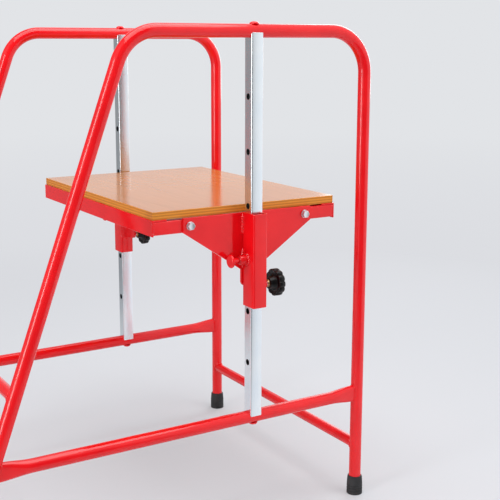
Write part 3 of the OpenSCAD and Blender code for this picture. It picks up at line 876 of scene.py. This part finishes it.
def hexagon_head(bm, origin, axis, flats, height, domed):
    """A hexagon whose outer corners are turned off at a shallow angle."""
    axis = Vector(axis).normalized()
    side = Vector((1, 0, 0))
    up = axis.cross(side)
    corner = flats / 2 / math.cos(math.pi / 6)
    steps = 10

    def ring(along, limit):
        made = []
        for k in range(6 * steps):
            t = 2 * math.pi * k / (6 * steps) + math.pi / 6
            edge = (t % (math.pi / 3)) - math.pi / 6
            reach = min(flats / 2 / math.cos(edge), limit)
            made.append(Vector(origin) + axis * along + (side * math.cos(t) + up * math.sin(t)) * reach)
        return made

    chamfer = (corner - flats / 2) * 0.6
    rings = [ring(0, flats / 2 * 0.97), ring(0.5 * MM, flats / 2 * 0.97), ring(0.5 * MM, corner)]
    rings += [ring(height - chamfer, corner), ring(height - chamfer * 0.4, corner - chamfer * 0.9)]
    rings += [ring(height, flats / 2 * 0.93)]
    if domed:
        rings += [ring(height - 0.25 * MM, flats / 2 * 0.82)]
    skin_rings(bm, rings)


for end, side in (("near", -1), ("far", 1)):
    bm = bmesh.new()
    for hand in (-1, 1):
        x = MAST_X + hand * 0.127
        washer = [(0, 7.6 * MM), (0.3 * MM, 8 * MM), (1.3 * MM, 8 * MM), (1.6 * MM, 7.6 * MM)]
        turned(bm, washer, (x, side * PLATE_Y, BOLT_Z), (0, side, 0), 48)
        head = (x, side * (PLATE_Y + 1.6 * MM), BOLT_Z)
        hexagon_head(bm, head, (0, side, 0), 13 * MM, 5.28 * MM, True)
        shank = [(0.0, 3.1 * MM), (1.0 * MM, 3.95 * MM), (37 * MM, 3.95 * MM)]
        turned(bm, shank, (x, side * 0.2386, BOLT_Z), (0, side, 0), 32)
    piece(f"{end}_hexagon_bolts", bm, SCREW_ZINC, "platform", [f"{end}_gusset_bolts"])
    bm = bmesh.new()
    for hand in (-1, 1):
        x = MAST_X + hand * 0.127
        hexagon_head(bm, (x, side * 0.247, BOLT_Z), (0, -side, 0), 13 * MM, 6.4 * MM, False)
    piece(f"{end}_hexagon_nuts", bm, SCREW_ZINC, "platform", [f"{end}_gusset_nuts"])

# The lock pins: a turned collar welded to the sleeve, lined with a nylon bush, and a red
# coated rod whose pull disc is pressed on its outer end.
NYLON = rubber("red_nylon", 0.55, 0.65, 0.5, tint=(1, 0.012, 0.02))
for end, side in (("near", -1), ("far", 1)):
    y = side * END_Y
    outward = (-1, 0, 0)
    bm = bmesh.new()
    face = MAST_X - SLEEVE_HALF
    collar = [(0.0, 9 * MM), (14.6 * MM, 9 * MM), (16.2 * MM, 8.3 * MM), (17 * MM, 7.2 * MM)]
    turned(bm, collar, (face, y, PIN_Z), outward)
    piece(f"{end}_pin_collar", bm, RED, "platform", [f"{end}_pin_housing"])
    bm = bmesh.new()
    ring = [
        (face, y + 9.4 * MM * math.cos(t), PIN_Z + 9.4 * MM * math.sin(t))
        for t in (2 * math.pi * k / 36 for k in range(36))
    ]
    weld_bead(bm, ring, 2.8 * MM, closed=True, ripple=4.2 * MM)
    piece(f"{end}_collar_weld", bm, WELD_RED, "platform")
    bm = bmesh.new()
    liner = [(0.0, 5.05 * MM), (0.0, 6.7 * MM), (1.0 * MM, 6.9 * MM), (1.5 * MM, 6.4 * MM), (1.5 * MM, 5.05 * MM)]
    rings = [
        [
            Vector((face - 17 * MM - along, y + radius * math.cos(t), PIN_Z + radius * math.sin(t)))
            for t in (2 * math.pi * k / 48 for k in range(48))
        ]
        for along, radius in liner
    ]
    skin_rings(bm, rings, closed=True)
    piece(f"{end}_bush_lip", bm, NYLON, "platform", [f"{end}_pin_bush"])
    bm = bmesh.new()
    rod = [(0.0, 3.6 * MM), (0.5 * MM, 4.4 * MM), (1.4 * MM, 4.95 * MM), (36 * MM, 4.95 * MM)]
    turned(bm, rod, (MAST_X - 13.6 * MM, y, PIN_Z), outward, 48)
    piece(f"{end}_pin_rod", bm, RED, f"{end}_pin", [f"{end}_lock_pin"])
    bm = bmesh.new()
    disc = [(-3.0 * MM, 6 * MM), (-2.9 * MM, 9.5 * MM)]
    disc += [
        (-3 * MM * math.cos(t), (10.0 + 3.0 * math.sin(t)) * MM)
        for t in (math.pi * k / 12 for k in range(1, 12))
    ]
    disc += [(2.9 * MM, 9.5 * MM), (3.0 * MM, 4 * MM)]
    turned(bm, disc, (MAST_X - 50 * MM, y, PIN_Z), outward)
    piece(f"{end}_pull_disc", bm, RED, f"{end}_pin", [f"{end}_pin_pull"])

# The star knobs: black glass-filled nylon, twelve lobes round a rim with a dished back,
# moulded over a plated bush and a zinc stud that runs through a welded nut.
KNOB_PLASTIC = rubber("black_knob_plastic", 0.002, 0.006, 0.42, 0.3)
BRASS = zinc("turned_brass", (300, 300, 300), (0.60, 0.38, 0.14, 1), (0.78, 0.55, 0.26, 1), 0.2, 0.35)
for end, side in (("near", -1), ("far", 1)):
    y = side * END_Y
    outward = (1, 0, 0)
    face = MAST_X + SLEEVE_HALF
    bm = bmesh.new()
    hexagon_boss = Vector((face, y, CLAMP_Z))
    axis = Vector(outward)
    corner = 8.5 * MM / math.cos(math.pi / 6)
    rings = []
    for along, limit in ((0.0, corner), (10 * MM, corner), (11.0 * MM, 9.1 * MM), (11.5 * MM, 8.2 * MM)):
        ring = []
        for k in range(60):
            t = 2 * math.pi * k / 60
            edge = (t % (math.pi / 3)) - math.pi / 6
            reach = min(8.5 * MM / math.cos(edge), limit)
            ring.append(hexagon_boss + axis * along + Vector((0, math.cos(t), math.sin(t))) * reach)
        rings.append(ring)
    skin_rings(bm, rings)
    piece(f"{end}_boss_nut", bm, RED, "platform", [f"{end}_clamp_boss"])
    bm = bmesh.new()
    ring = [
        (face, y + 9.6 * MM * math.cos(t), CLAMP_Z + 9.6 * MM * math.sin(t))
        for t in (2 * math.pi * k / 36 for k in range(36))
    ]
    weld_bead(bm, ring, 1.8 * MM, closed=True)
    piece(f"{end}_boss_weld", bm, WELD_RED, "platform")
    bm = bmesh.new()
    stud = [(0.0, 4.2 * MM), (0.7 * MM, 4.9 * MM)]
    thread = 1.5 * MM
    for k in range(11):
        root = 2 * MM + k * thread
        stud += [(root, 4.95 * MM), (root + 0.75 * MM, 4.35 * MM)]
    stud += [(19 * MM, 4.95 * MM), (32 * MM, 4.95 * MM)]
    turned(bm, stud, (MAST_X + 14.8 * MM, y, CLAMP_Z), outward, 48)
    piece(f"{end}_stud", bm, SCREW_ZINC, f"{end}_knob", [f"{end}_clamp_stud"])
    bm = bmesh.new()
    button = [(0.0, 3.9 * MM), (0.3 * MM, 4.4 * MM), (2.0 * MM, 4.45 * MM)]
    turned(bm, button, (MAST_X + 12.8 * MM, y, CLAMP_Z), outward, 40)
    piece(f"{end}_pad_button", bm, BRASS, f"{end}_clamp", [f"{end}_clamp_pad"])
    bm = bmesh.new()
    lobes, points = 12, 288
    profile = [
        (33.0, 6.4, 0.0), (33.0, 10.2, 0.0), (33.6, 10.9, 0.0), (40.0, 12.0, 0.0),
        (43.0, 13.6, 0.0), (45.6, 15.4, 0.0), (46.2, 18.0, 0.1), (45.4, 21.0, 0.5),
        (44.3, 23.2, 0.8), (44.0, 24.6, 0.95), (44.6, 26.0, 1.0), (46.0, 26.8, 1.0),
        (50.5, 27.0, 1.0), (55.0, 26.8, 1.0), (56.4, 26.0, 1.0), (57.0, 24.4, 0.9),
        (56.9, 22.4, 0.6), (56.0, 20.4, 0.2), (55.0, 18.0, 0.0), (54.6, 9.0, 0.0),
        (54.6, 4.0, 0.0),
    ]
    rings = []
    for along, radius, lobed in profile:
        ring = []
        for k in range(points):
            t = 2 * math.pi * k / points
            swell = abs(math.cos(lobes / 2 * t))
            notch = 3.0 * (1 - swell**0.55)
            reach = (radius - lobed * notch) * MM
            ring.append(Vector((MAST_X + along * MM, y + reach * math.cos(t), CLAMP_Z + reach * math.sin(t))))
        rings.append(ring)
    skin_rings(bm, rings)
    piece(f"{end}_lobed_knob", bm, KNOB_PLASTIC, f"{end}_knob", [f"{end}_star_knob"])
    bm = bmesh.new()
    bush = [(0.0, 4.6 * MM), (0.0, 7.4 * MM), (2.4 * MM, 7.6 * MM), (4.0 * MM, 7.6 * MM)]
    turned(bm, bush, (MAST_X + 30.6 * MM, y, CLAMP_Z), outward, 48)
    piece(f"{end}_knob_bush", bm, BRASS, f"{end}_knob")
